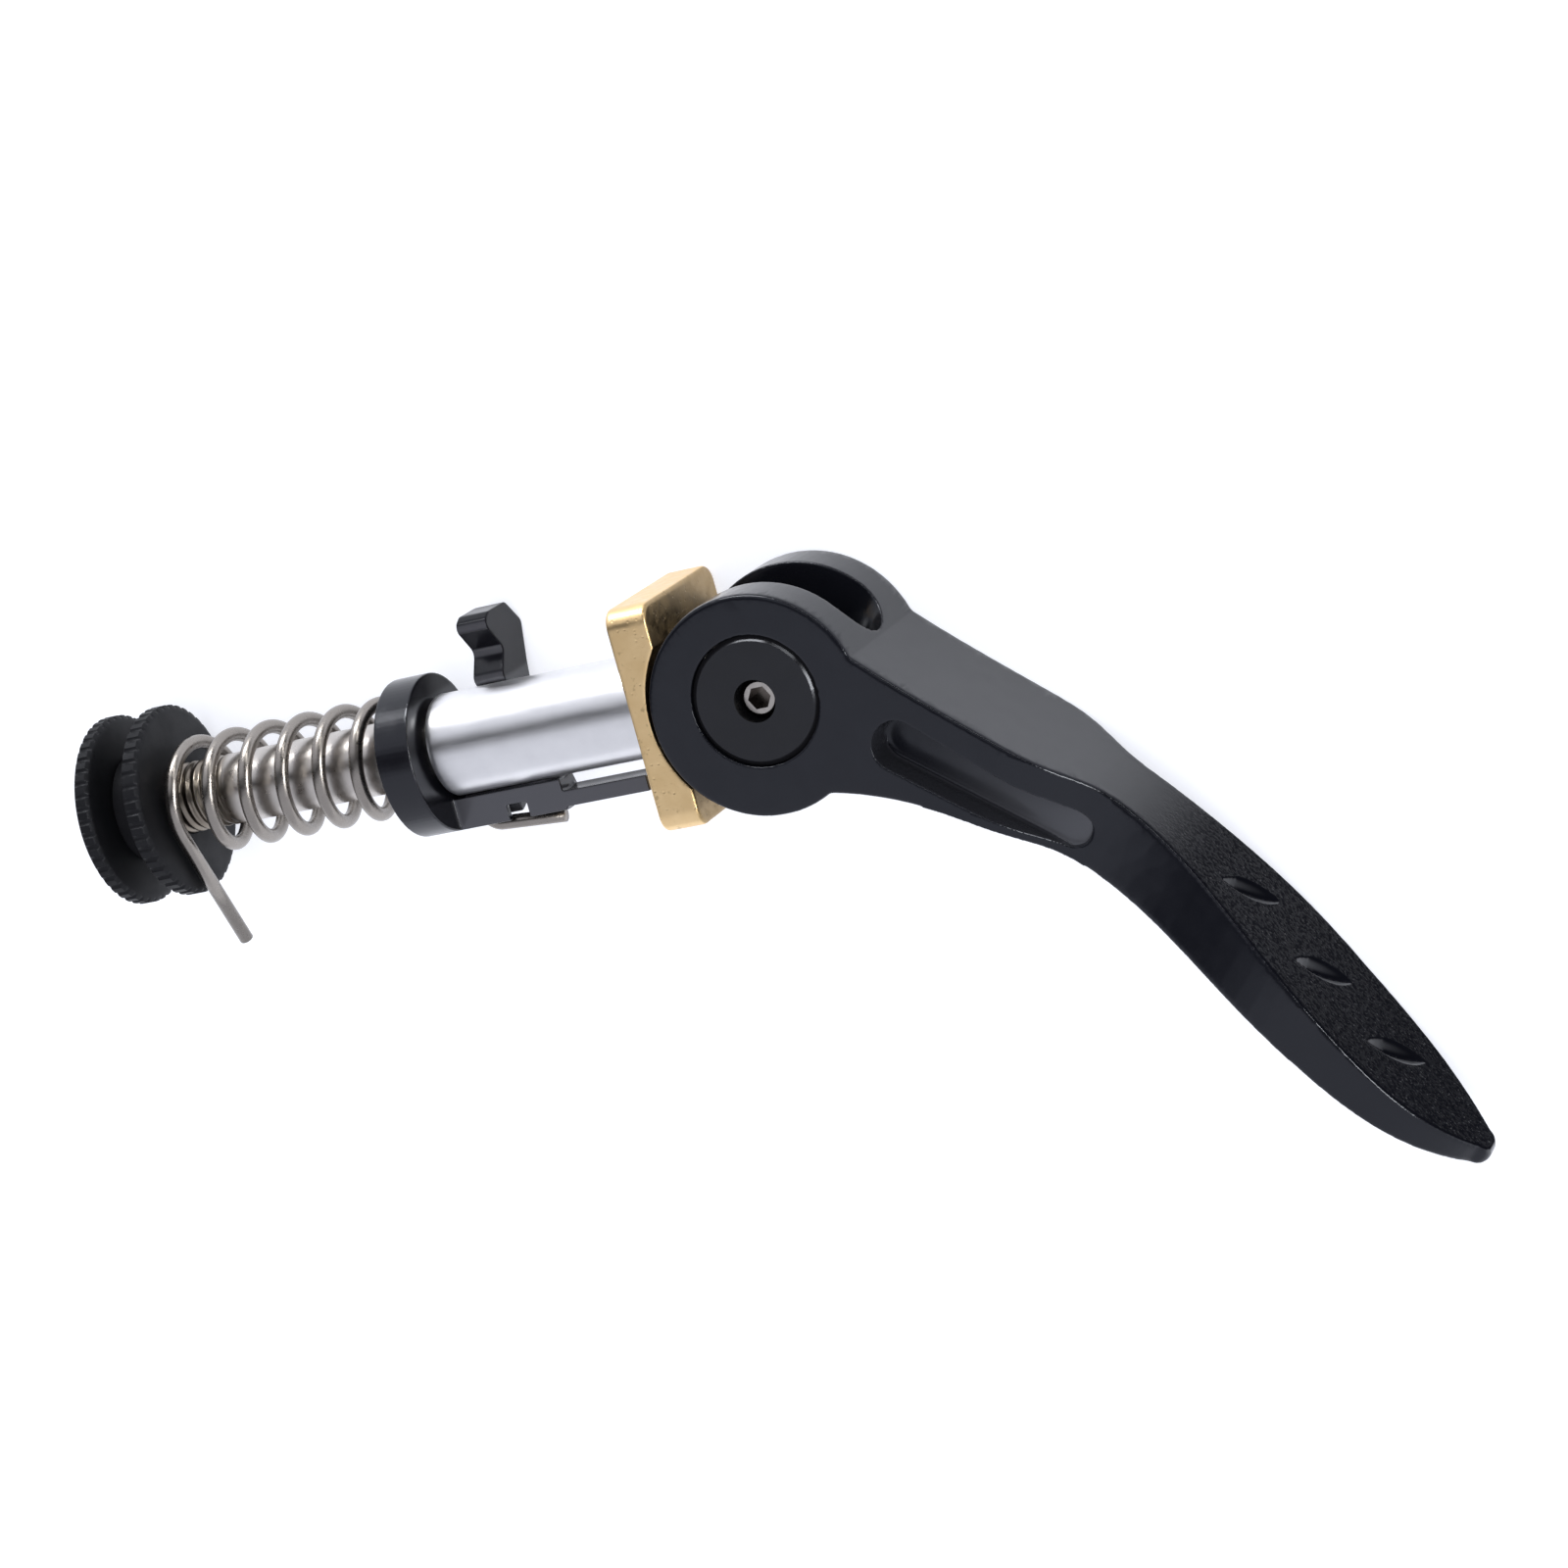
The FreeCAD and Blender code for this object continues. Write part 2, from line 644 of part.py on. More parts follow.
def side_solid():
    """The lever seen along the pivot: the round cam head and the blade, wider than the fork."""
    width = 2 * size("fork_width")
    tip = vector(size("lever_length"), -size("tip_drop"), 0)
    top = blade_top()
    bottom = blade_bottom()
    crown = Part.Arc(top.EndPoint, tip, bottom.StartPoint)
    closing = Part.LineSegment(bottom.EndPoint, top.StartPoint)
    outline = Part.Wire([top.toShape(), crown.toShape(), bottom.toShape(), closing.toShape()])
    blade = Part.Face(outline).extrude(vector(0, 0, width))
    head = Part.makeCylinder(size("head_radius"), width, cam_centre())
    solid = head.fuse(blade).removeSplitter()
    solid.translate(vector(0, 0, -width / 2))
    return solid


def plan_solid():
    """The lever seen from above: fork, narrow waist, paddle as wide as the fork, and pointed tip."""
    half = size("fork_width") / 2
    reach = 2 * size("head_radius")
    ahead = vector(1, 0, 0)
    side = spline([
        vector(size("shoulder_reach"), 0, half),
        vector(size("waist_reach"), 0, size("waist_width") / 2),
        vector(size("paddle_reach"), 0, half),
        vector(size("lever_length") - size("tip_width") / 4, 0, size("tip_width") / 2),
    ], {0: ahead, 1: ahead, 2: ahead})
    edge = side.toShape()
    mirrored = edge.mirror(vector(0, 0, 0), vector(0, 0, 1))
    tip = vector(size("lever_length") + size("tip_blunting"), 0, 0)
    start = edge.valueAt(edge.FirstParameter)
    end = edge.valueAt(edge.LastParameter)
    corner = vector(-reach, 0, half)
    flip = vector(0, 0, -2)
    crown = Part.Arc(end, tip, end + flip * end.z)
    lines = [
        Part.LineSegment(start + flip * half, corner + flip * half),
        Part.LineSegment(corner + flip * half, corner),
        Part.LineSegment(corner, start),
    ]
    edges = [edge, crown.toShape(), mirrored] + [line.toShape() for line in lines]
    outline = Part.Wire(Part.__sortEdges__(edges))
    solid = Part.Face(outline).extrude(vector(0, 4 * reach, 0))
    solid.translate(vector(0, -2 * reach, 0))
    return solid


def fork_slot():
    """The slot between the ears, with a round end towards the blade."""
    half = size("slot_width") / 2
    reach = 2 * size("head_radius")
    centre = size("slot_reach") - half
    slot = Part.makeBox(reach + centre, 2 * reach, 2 * half, vector(-reach, -reach, -half))
    end = Part.makeCylinder(half, 2 * reach, vector(centre, -reach, 0), vector(0, 1, 0))
    return slot.fuse(end)


def side_pocket(direction):
    """A long tapered recess in one side of the blade."""
    floor = size("pocket_web") / 2
    depth = size("fork_width")
    start = vector(size("pocket_start"), size("pocket_start_rise"), 0)
    end = vector(size("pocket_end"), size("pocket_end_rise"), 0)
    small = size("pocket_end_radius")
    large = size("pocket_start_radius")
    run = end - start
    lean = math.atan2(run.y, run.x)
    spread = math.acos((large - small) / run.Length)
    corners = []
    for centre, radius, sign in ((start, large, 1), (end, small, 1), (end, small, -1), (start, large, -1)):
        angle = lean + sign * spread
        corners.append(centre + vector(radius * math.cos(angle), radius * math.sin(angle), 0))
    body = Part.Face(Part.makePolygon(corners + corners[:1])).extrude(vector(0, 0, depth))
    pocket = body.fuse([Part.makeCylinder(large, depth, start), Part.makeCylinder(small, depth, end)])
    pocket = pocket.removeSplitter()
    pocket.translate(vector(0, 0, floor))
    if direction < 0:
        pocket = pocket.mirror(vector(0, 0, 0), vector(0, 0, 1))
    return pocket


def leaf_groove(top, station):
    """The wedge wheel that leaves one leaf-shaped groove across the paddle's top."""
    low = top.FirstParameter
    high = top.LastParameter
    halving_count = 40
    for _ in range(halving_count):
        middle = (low + high) / 2
        if top.value(middle).x < station:
            low = middle
        else:
            high = middle
    point = top.value(low)
    ahead = vector(*top.tangent(low)[0]).normalize()
    if ahead.x < 0:
        ahead = ahead * -1
    up = vector(-ahead.y, ahead.x, 0)
    angle = math.radians(size("groove_angle"))
    along = ahead * math.cos(angle) - vector(0, 0, 1) * math.sin(angle)
    across = up.cross(along)
    radius = size("groove_radius")
    flare = radius * size("groove_flare") / size("groove_depth")
    centre = point + up * (radius - size("groove_depth"))
    wheel = Part.makeCone(radius, 0, flare, centre, across)
    return wheel.fuse(Part.makeCone(radius, 0, flare, centre, across * -1))


def make_cam_lever():
    lever = side_solid().common(plan_solid()).removeSplitter()
    half = size("fork_width") / 2
    bore = size("barrel_diameter") / 2 + size("barrel_clearance")
    pivot_bore = Part.makeCylinder(bore, 2 * half, vector(0, 0, -half))
    cuts = [pivot_bore, fork_slot(), side_pocket(1), side_pocket(-1)]
    top = blade_top()
    for number in range(int(size("groove_count"))):
        cuts.append(leaf_groove(top, size("groove_first") + number * size("groove_spacing")))
    for cut in cuts:
        lever = lever.cut(cut)
    feature = doc.addObject("Part::Feature", "cam_lever")
    feature.Shape = lever.removeSplitter()
    turn = FreeCAD.Rotation(vector(0, 0, 1), size("lever_angle"))
    feature.Placement = FreeCAD.Placement(vector(barrel_x(), 0, 0), turn)
    return feature


def check_document():
    for item in doc.Objects:
        if "Invalid" in item.State or "Error" in item.State:
            raise RuntimeError("%s failed: %s" % (item.Name, item.State))


def write_parts(parts):
    for part in parts:
        part.Label = part.Name
        if part.Shape.isNull() or not part.Shape.isValid():
            raise RuntimeError("%s has no valid shape" % part.Label)
    os.makedirs("parts", exist_ok=True)
    for part in parts:
        part.Shape.exportStep(os.path.join("parts", part.Label + ".step"))


def main():
    parts = [
        make_spindle(),
        make_pivot_barrel(),
        make_set_screw(),
        make_sleeve(),
        make_cam_saddle(),
        make_nut("adjusting_nut", NUT_LEFT, "sizes.nut_rim", True),
        make_nut("lock_nut", LOCK_LEFT, "sizes.lock_rim", False),
        make_hook_catch(),
        make_torsion_spring(),
        make_cam_lever(),
    ]
    doc.recompute()
    check_document()
    write_parts(parts)


main()
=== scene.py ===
import contextlib
import json
import math

import bmesh
import bpy
from mathutils import Matrix, Vector


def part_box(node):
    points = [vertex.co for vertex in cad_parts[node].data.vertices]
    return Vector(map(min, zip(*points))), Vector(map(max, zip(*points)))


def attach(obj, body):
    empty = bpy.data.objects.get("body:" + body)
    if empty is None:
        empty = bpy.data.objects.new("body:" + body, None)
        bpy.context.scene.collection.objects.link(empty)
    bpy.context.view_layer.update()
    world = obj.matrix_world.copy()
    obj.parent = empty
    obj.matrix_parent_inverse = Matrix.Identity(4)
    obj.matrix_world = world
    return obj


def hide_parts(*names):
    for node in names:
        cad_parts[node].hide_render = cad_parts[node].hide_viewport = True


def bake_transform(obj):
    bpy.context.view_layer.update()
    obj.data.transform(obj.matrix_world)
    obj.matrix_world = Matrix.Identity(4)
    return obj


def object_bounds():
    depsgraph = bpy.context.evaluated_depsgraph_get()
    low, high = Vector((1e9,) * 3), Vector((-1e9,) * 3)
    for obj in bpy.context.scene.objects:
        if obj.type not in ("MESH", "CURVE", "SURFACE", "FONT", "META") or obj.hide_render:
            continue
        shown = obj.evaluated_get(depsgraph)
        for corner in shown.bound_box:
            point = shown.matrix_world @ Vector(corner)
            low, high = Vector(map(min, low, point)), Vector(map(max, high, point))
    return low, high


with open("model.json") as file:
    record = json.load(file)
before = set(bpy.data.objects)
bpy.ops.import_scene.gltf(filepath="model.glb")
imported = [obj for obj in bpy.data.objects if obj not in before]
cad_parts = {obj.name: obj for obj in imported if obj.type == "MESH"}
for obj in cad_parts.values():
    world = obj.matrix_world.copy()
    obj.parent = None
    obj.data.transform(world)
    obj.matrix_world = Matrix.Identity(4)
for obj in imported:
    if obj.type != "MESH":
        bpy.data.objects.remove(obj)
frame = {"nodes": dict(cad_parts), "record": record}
CAD_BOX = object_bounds()
NODES = frame["nodes"]
JOINTS = {joint["name"]: joint for joint in frame["record"]["behaviour"]["joints"]}
SCENE = bpy.context.scene
MM = 0.001

# The lever's pivot and the directions along and above its blade, in the row frame
PIVOT = Vector(JOINTS["lever_swing"]["pos_m"])
BLADE_ANGLE = math.radians(-45)
BLADE_ALONG = Vector((math.cos(BLADE_ANGLE), math.sin(BLADE_ANGLE), 0))
BLADE_UP = Vector((-BLADE_ALONG.y, BLADE_ALONG.x, 0))
# The leaf grooves lie aslant on the paddle, so their walls lean across this direction
GROOVE_ANGLE = math.radians(51)
GROOVE_ACROSS = BLADE_ALONG * math.sin(GROOVE_ANGLE) + Vector((0, 0, math.cos(GROOVE_ANGLE)))
# The bore of the pieces on the spindle, and where the spindle's thread and the catch's collar end
BORE_RADIUS = 3.6 * MM
THREAD_END = -46.95 * MM
COLLAR_END = -24 * MM

# A faintly blue tint for the gloss of the black finishes
COOL_SHEEN = (0.9, 0.93, 1.0)


# Node helpers
class NodeTree:
    """Short calls for building the node tree of a material or a world."""

    def __init__(self, owner):
        owner.use_nodes = True
        self.tree = owner.node_tree
        self.tree.nodes.clear()
        self.coords = self.add("TexCoord").outputs

    def feed(self, socket, value):
        """Links a socket to another node's output, or sets its value; a colour gets its alpha here."""
        if isinstance(value, bpy.types.NodeSocket):
            self.tree.links.new(value, socket)
        elif socket.type == "RGBA":
            socket.default_value = (*value, 1)
        else:
            socket.default_value = value

    def fill(self, node, **inputs):
        """Feeds a node's inputs by name, with _ for a space."""
        for name, value in inputs.items():
            self.feed(node.inputs[name.replace("_", " ")], value)

    def add(self, kind, **inputs):
        node = self.tree.nodes.new("ShaderNode" + kind)
        self.fill(node, **inputs)
        return node

    def noise(self, scale, detail=3.0, stretch=(1, 1, 1)):
        """Noise in the object's own space, with each axis scaled by the stretch."""
        place = self.add("Mapping", Vector=self.coords["Object"], Scale=stretch).outputs["Vector"]
        return self.add("TexNoise", Vector=place, Scale=scale, Detail=detail, Roughness=0.55).outputs["Fac"]

    def cells(self, scale):
        """The distance from the middles of scattered cells."""
        return self.add("TexVoronoi", Vector=self.coords["Object"], Scale=scale).outputs["Distance"]

    def spread(self, value, low, high, to_low=0.0, to_high=1.0):
        """Goes smoothly from to_low to to_high while the value goes from low to high."""
        node = self.add("MapRange")
        node.interpolation_type = "SMOOTHSTEP"
        self.fill(node, Value=value, From_Min=low, From_Max=high, To_Min=to_low, To_Max=to_high)
        return node.outputs["Result"]

    def fading(self, value, low, high):
        """Goes smoothly from one to zero while the value goes from low to high."""
        return self.spread(value, low, high, 1.0, 0.0)

    def math(self, kind, first, second=0.0):
        node = self.add("Math")
        node.operation = kind
        self.feed(node.inputs[0], first)
        self.feed(node.inputs[1], second)
        return node.outputs["Value"]

    def product(self, first, *others):
        for other in others:
            first = self.math("MULTIPLY", first, other)
        return first

    def total(self, first, *others):
        for other in others:
            first = self.math("ADD", first, other)
        return first

    def along(self, vector, direction):
        """How far a vector goes in a direction."""
        node = self.add("VectorMath")
        node.operation = "DOT_PRODUCT"
        self.feed(node.inputs[0], vector)
        self.feed(node.inputs[1], direction)
        return node.outputs["Value"]

    def mix(self, factor, first, second):
        """A colour that goes from the first to the second as the factor goes from zero to one."""
        node = self.add("Mix")
        node.data_type = "RGBA"
        self.fill(node, Factor=factor, A=first, B=second)
        return node.outputs["Result"]


class Finish(NodeTree):
    """A material with one principled shader, whose inputs are set by name."""

    def __init__(self, name, **inputs):
        self.material = bpy.data.materials.new(name)
        super().__init__(self.material)
        self.place = self.coords["Object"]
        self.normal = self.coords["Normal"]
        self.shader = self.add("BsdfPrincipled", **inputs)
        self.add("OutputMaterial", Surface=self.shader.outputs["BSDF"])

    def set(self, **inputs):
        self.fill(self.shader, **inputs)

    def wander(self, scale, detail, low, high, stretch=(1, 1, 1)):
        """A value that wanders between two over the surface."""
        return self.spread(self.noise(scale, detail, stretch), 0.3, 0.7, low, high)

    def bump(self, height, depth):
        node = self.add("Bump", Height=height, Distance=depth, Strength=1.0)
        self.set(Normal=node.outputs["Normal"])


# Finishes
def black_metal(name, tone, rough_low, rough_high, grain, depth, index):
    """Black finish on metal: faint tone changes, a broken gloss and fine grain."""
    finish = Finish(name, Metallic=0.0, IOR=index, Specular_Tint=COOL_SHEEN)
    dark = (tone, tone, 1.15 * tone)
    light = (1.6 * tone, 1.6 * tone, 1.9 * tone)
    finish.set(Base_Color=finish.mix(finish.noise(260.0), dark, light),
               Roughness=finish.wander(420.0, 5.0, rough_low, rough_high))
    finish.bump(finish.noise(grain, 2.0), depth)
    return finish.material


def barrel_material():
    return black_metal("barrel_black", tone=0.005, rough_low=0.2, rough_high=0.27, grain=4200.0,
                       depth=0.001 * MM, index=1.4)


def nut_material():
    return black_metal("nut_black", tone=0.0045, rough_low=0.42, rough_high=0.52, grain=3000.0,
                       depth=0.003 * MM, index=1.26)


def catch_material():
    """Satin black, with a greyer colour on the arm's up-facing flat side as painted light, and with less
    gloss on the hook.
    """
    finish = Finish("catch_black", Metallic=0.0, IOR=1.46, Specular_Tint=COOL_SHEEN)
    painted_light_flat_side = finish.spread(finish.along(finish.normal, (0, 0, 1)), 0.8, 0.97)
    past_collar = finish.spread(finish.along(finish.place, (1, 0, 0)), COLLAR_END - 0.2 * MM, COLLAR_END)
    behind_sleeve = finish.spread(finish.along(finish.place, (0, 1, 0)), 4.5 * MM, 5.5 * MM)
    hook = finish.product(past_collar, behind_sleeve)
    black = finish.mix(finish.noise(260.0), (0.004, 0.004, 0.0055), (0.0065, 0.0065, 0.009))
    # Painted light: the arm's flat side that faces up gets a grey colour which lightens it
    finish.set(Base_Color=finish.mix(finish.product(painted_light_flat_side, past_collar), black, (0.05, 0.05, 0.057)),
               Specular_IOR_Level=finish.spread(hook, 0.0, 1.0, 0.5, 0.15),
               Roughness=finish.wander(420.0, 5.0, 0.18, 0.26))
    finish.bump(finish.noise(3600.0, 2.0), 0.002 * MM)
    return finish.material


def lever_colour_and_painted_light(finish, reach, rise):
    """Near black, with painted light in the side pockets: greyer walls, and a floor that turns greyer along
    the blade as a painted reflection.
    """
    across = finish.math("ABSOLUTE", finish.along(finish.place, (0, 0, 1)))
    sideways = finish.math("ABSOLUTE", finish.along(finish.normal, (0, 0, 1)))
    pocket = finish.product(finish.spread(reach, 9.5 * MM, 10 * MM), finish.fading(reach, 33 * MM, 34 * MM),
                            finish.spread(rise, 0.7 * MM, 0.9 * MM), finish.fading(rise, 8.3 * MM, 8.5 * MM))
    floor = finish.product(pocket, finish.fading(across, 5.6 * MM, 5.75 * MM),
                           finish.spread(sideways, 0.5, 0.9), finish.spread(reach, 12 * MM, 36 * MM))
    painted_light_wall = finish.product(pocket, finish.fading(sideways, 0.4, 0.75))
    black = finish.mix(finish.noise(200.0), (0.004, 0.0043, 0.0062), (0.006, 0.0064, 0.0092))
    # Painted reflection: the pocket floor turns greyer further along the blade, standing in for the light it
    # mirrors
    black = finish.mix(floor, black, (0.05, 0.051, 0.058))
    # Painted light: the pocket's walls get a greyer colour so that they don't read as a dark band
    return finish.mix(painted_light_wall, black, (0.034, 0.035, 0.041))


def lever_material():
    """Gloss black; the paddle's top is darker, with a fine peel between its smooth grooves."""
    finish = Finish("lever_black", Metallic=0.0, IOR=1.41, Specular_Tint=COOL_SHEEN)
    reach = finish.math("SUBTRACT", finish.along(finish.place, BLADE_ALONG), PIVOT.dot(BLADE_ALONG))
    rise = finish.math("SUBTRACT", finish.along(finish.place, BLADE_UP), PIVOT.dot(BLADE_UP))
    upward = finish.spread(finish.along(finish.normal, BLADE_UP), 0.6, 0.85)
    slant = finish.along(finish.normal, GROOVE_ACROSS)
    groove = finish.spread(slant, 0.3, 0.42)
    groove_rim = finish.fading(slant, -0.15, 0.04)
    dark_top = finish.product(finish.spread(reach, 23 * MM, 45 * MM), upward)
    paddle_top = finish.product(dark_top, finish.spread(reach, 34 * MM, 40 * MM))
    peeled = finish.product(paddle_top, finish.fading(groove, 0.0, 1.0))
    peel = finish.spread(finish.noise(2300.0, 2.0), 0.35, 0.65)
    sheen = finish.product(finish.spread(upward, 0.0, 1.0, 0.5, 0.31), finish.fading(dark_top, 0.0, 1.0))
    grain = finish.product(peeled, finish.spread(reach, 42 * MM, 72 * MM, 0.016, 0.005),
                           finish.spread(peel, 0.0, 1.0, 0.2, 1.8))
    sparkle = finish.product(peeled, finish.spread(finish.noise(4100.0, 1.0), 0.62, 0.78, 0.0, 0.12))
    glint = finish.product(paddle_top, groove_rim, finish.spread(groove_rim, 0.0, 1.0, 0.0, 0.8))
    finish.set(Base_Color=lever_colour_and_painted_light(finish, reach, rise),
               Specular_IOR_Level=finish.total(sheen, grain, sparkle, glint),
               Roughness=finish.total(finish.wander(500.0, 5.0, 0.15, 0.22), finish.product(peeled, 0.2)))
    finish.bump(finish.product(peel, peeled), 0.03 * MM)
    return finish.material


def brass_material():
    """Dull sintered brass with small pits, dark flecks and warm tone changes; the faces turned towards the
    lever are browner, a painted shade and painted reflection of the black lever.
    """
    finish = Finish("saddle_brass", Metallic=1.0)
    # Painted shade: faces that turn towards the lever get a dark brown that stands in for its shade and its
    # dark reflection
    painted_shade_towards_lever = finish.spread(finish.along(finish.normal, (1, 0, 0)), 0.35, 0.8, 0.0, 0.75)
    flecks = finish.spread(finish.noise(1100.0, 4.0), 0.6, 0.74, 0.0, 0.6)
    brass = finish.mix(finish.noise(330.0, 6.0), (0.70, 0.49, 0.235), (0.94, 0.70, 0.39))
    brass = finish.mix(flecks, brass, (0.36, 0.25, 0.12))
    finish.set(Base_Color=finish.mix(painted_shade_towards_lever, brass, (0.22, 0.15, 0.065)),
               Roughness=finish.wander(900.0, 4.0, 0.3, 0.44))
    pits = finish.spread(finish.cells(1500.0), 0.05, 0.22)
    grain = finish.product(finish.noise(3800.0, 3.0), 0.35)
    finish.bump(finish.total(pits, grain), 0.018 * MM)
    return finish.material


def alloy_material():
    """Satin drawn aluminium with faint lines along the tube."""
    finish = Finish("bare_alloy", Metallic=1.0)
    drawn = (0.15, 1, 1)
    finish.set(Base_Color=finish.mix(finish.noise(500.0, 4.0), (0.70, 0.70, 0.715), (0.80, 0.80, 0.81)),
               Roughness=finish.wander(1400.0, 4.0, 0.29, 0.36, drawn))
    finish.bump(finish.noise(5000.0, 3.0, drawn), 0.0006 * MM)
    return finish.material


def spring_material():
    """Drawn steel wire."""
    finish = Finish("spring_steel", Metallic=1.0)
    finish.set(Base_Color=finish.mix(finish.noise(450.0, 4.0), (0.25, 0.23, 0.21), (0.32, 0.295, 0.27)),
               Roughness=finish.wander(1300.0, 4.0, 0.25, 0.33))
    return finish.material


def spindle_material():
    """Dull plated steel, browner on the thread at the nuts' end."""
    finish = Finish("spindle_steel", Metallic=1.0)
    place = finish.along(finish.place, (1, 0, 0))
    thread = finish.fading(place, THREAD_END - 0.55 * MM, THREAD_END + 0.45 * MM)
    plain = finish.mix(finish.noise(450.0, 4.0), (0.48, 0.45, 0.42), (0.58, 0.55, 0.52))
    finish.set(Base_Color=finish.mix(thread, plain, (0.24, 0.21, 0.175)),
               Roughness=finish.wander(1300.0, 4.0, 0.27, 0.35))
    return finish.material


def screw_material():
    """Steel set screw: its end face keeps the bright steel colour, and its flanks and the inside of its
    socket get a dark painted shade.
    """
    finish = Finish("screw_steel", Metallic=1.0)
    _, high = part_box("set_screw")
    facing = finish.spread(finish.along(finish.normal, (0, 0, 1)), 0.85, 0.97)
    above_painted_shade = finish.spread(finish.along(finish.place, (0, 0, 1)), high.z - 0.2 * MM, high.z - 0.05 * MM)
    # Painted shade: everything below the end face or turned away from it, the socket and the flanks, is dark
    finish.set(Base_Color=finish.mix(finish.product(facing, above_painted_shade), (0.16, 0.14, 0.125), (0.48, 0.45, 0.42)),
               Roughness=finish.wander(1300.0, 4.0, 0.24, 0.34))
    return finish.material


MATERIALS = {
    "lever_black": lever_material(),
    "barrel_black": barrel_material(),
    "catch_black": catch_material(),
    "nut_black": nut_material(),
    "saddle_brass": brass_material(),
    "bare_alloy": alloy_material(),
    "spindle_steel": spindle_material(),
    "spring_steel": spring_material(),
    "screw_steel": screw_material(),
}


# Mesh helpers
def add_object(name, mesh, slot, body, *replaced):
    """Links a mesh as a piece with its finish, body and the nodes that it stands for."""
    mesh.materials.clear()
    mesh.materials.append(MATERIALS[slot])
    piece = bpy.data.objects.new(name, mesh)
    SCENE.collection.objects.link(piece)
    if body:
        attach(piece, body)
    if replaced:
        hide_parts(*replaced)
    return piece


@contextlib.contextmanager
def edited(mesh):
    """Opens a mesh for editing and writes it back afterwards."""
    cage = bmesh.new()
    cage.from_mesh(mesh)
    yield cage
    cage.to_mesh(mesh)
    cage.free()


def evaluated_mesh(piece):
    """A piece's mesh with its modifiers applied."""
    bpy.context.view_layer.update()
    graph = bpy.context.evaluated_depsgraph_get()
    return bpy.data.meshes.new_from_object(piece.evaluated_get(graph))


def welded_copy(node):
    """A copy of a node's mesh with its split corners joined."""
    mesh = NODES[node].data.copy()
    with edited(mesh) as cage:
        bmesh.ops.remove_doubles(cage, verts=cage.verts, dist=0.001 * MM)
    return mesh


def eased_mesh(node, voxel, passes, limit, soften=None):
    """A node's shape with its edges eased: an even skin is smoothed and thinned to a limit of triangles."""
    work = bpy.data.objects.new(node + "_work", welded_copy(node))
    SCENE.collection.objects.link(work)
    skin = work.modifiers.new("skin", "REMESH")
    skin.mode = "VOXEL"
    skin.voxel_size = voxel
    skin.use_smooth_shade = True
    ease = work.modifiers.new("ease", "SMOOTH")
    ease.iterations = passes
    ease.factor = 0.5
    mesh = evaluated_mesh(work)
    if soften:
        soften(mesh)
    work.modifiers.clear()
    work.data = mesh
    count = 2 * len(mesh.polygons)
    if count > limit:
        thin = work.modifiers.new("thin", "DECIMATE")
        thin.ratio = limit / count
        mesh = evaluated_mesh(work)
    bpy.data.objects.remove(work)
    mesh.shade_smooth()
    return mesh


def soften_where(mesh, chosen, rings, passes):
    """Smooths only the chosen points and the rings of points round them."""
    axes = {"use_axis_x": True, "use_axis_y": True, "use_axis_z": True}
    with edited(mesh) as cage:
        cage.normal_update()
        picked = {vert for vert in cage.verts if chosen(vert.co, vert.normal)}
        border = picked
        for _ in range(rings):
            border = {edge.other_vert(vert) for vert in border for edge in vert.link_edges} - picked
            picked = picked | border
        listed = sorted(picked, key=lambda vert: vert.index)
        for _ in range(passes):
            bmesh.ops.smooth_vert(cage, verts=listed, factor=0.5, **axes)


def ring_mesh(name, rings, count, radius_at):
    """Closed rings about X joined in order; radius_at(ring, angle) gives each point's radius."""
    verts = []
    faces = []
    for ring in rings:
        for step in range(count):
            angle = 2 * math.pi * step / count
            radius = radius_at(ring, angle)
            verts.append((ring[0], radius * math.cos(angle), radius * math.sin(angle)))
    total = len(rings)
    for row in range(total):
        below = row * count
        above = (row + 1) % total * count
        for step in range(count):
            after = (step + 1) % count
            faces.append((below + step, below + after, above + after, above + step))
    mesh = bpy.data.meshes.new(name)
    mesh.from_pydata(verts, [], faces)
    with edited(mesh) as cage:
        bmesh.ops.recalc_face_normals(cage, faces=cage.faces)
    mesh.shade_smooth()
    mesh.set_sharp_from_angle(angle=math.radians(40))
    return mesh


# Pieces
def blade_place(point):
    """Millimetres along and above the blade from its pivot, and from its middle plane."""
    from_pivot = point - PIVOT
    return from_pivot.dot(BLADE_ALONG) / MM, from_pivot.dot(BLADE_UP) / MM, abs(point.z) / MM


def in_pocket(along, above):
    return 9 < along < 33.5 and 0.3 < above < 8.6


def on_outer_edge(point, normal):
    """The rims of the ears and the edges between the blade's sides and its top or bottom."""
    along, above, across = blade_place(point)
    on_ear_face = math.hypot(along, above) < 7.5
    in_fork = along < 20 and across < 7
    if in_pocket(along, above) or on_ear_face or in_fork:
        return False
    return 0.25 < abs(normal.z) < 0.97 and normal.dot(BLADE_UP) < 0.8


def low_in_pocket(point, _normal):
    """The foot of the pocket's wall, where it runs into the floor; the blade narrows beside it."""
    along, above, across = blade_place(point)
    if not in_pocket(along, above):
        return False
    narrowing = min(1.0, max(0.0, (along - 22) / 11))
    half_width = 9.5 - 3.7 * narrowing * narrowing * (3 - 2 * narrowing)
    return across < min(6.5, half_width - 0.45)


def soften_lever(mesh):
    soften_where(mesh, on_outer_edge, rings=3, passes=25)
    soften_where(mesh, low_in_pocket, rings=1, passes=30)


def make_lever():
    mesh = eased_mesh("cam_lever", voxel=0.13 * MM, passes=3, limit=190000, soften=soften_lever)
    add_object("lever", mesh, "lever_black", "lever_unit", "cam_lever")


def make_saddle():
    mesh = eased_mesh("cam_saddle", voxel=0.12 * MM, passes=3, limit=120000)
    add_object("saddle", mesh, "saddle_brass", "saddle_unit", "cam_saddle")


def make_catch():
    mesh = eased_mesh("hook_catch", voxel=0.11 * MM, passes=4, limit=120000)
    add_object("catch", mesh, "catch_black", "catch_unit", "hook_catch")


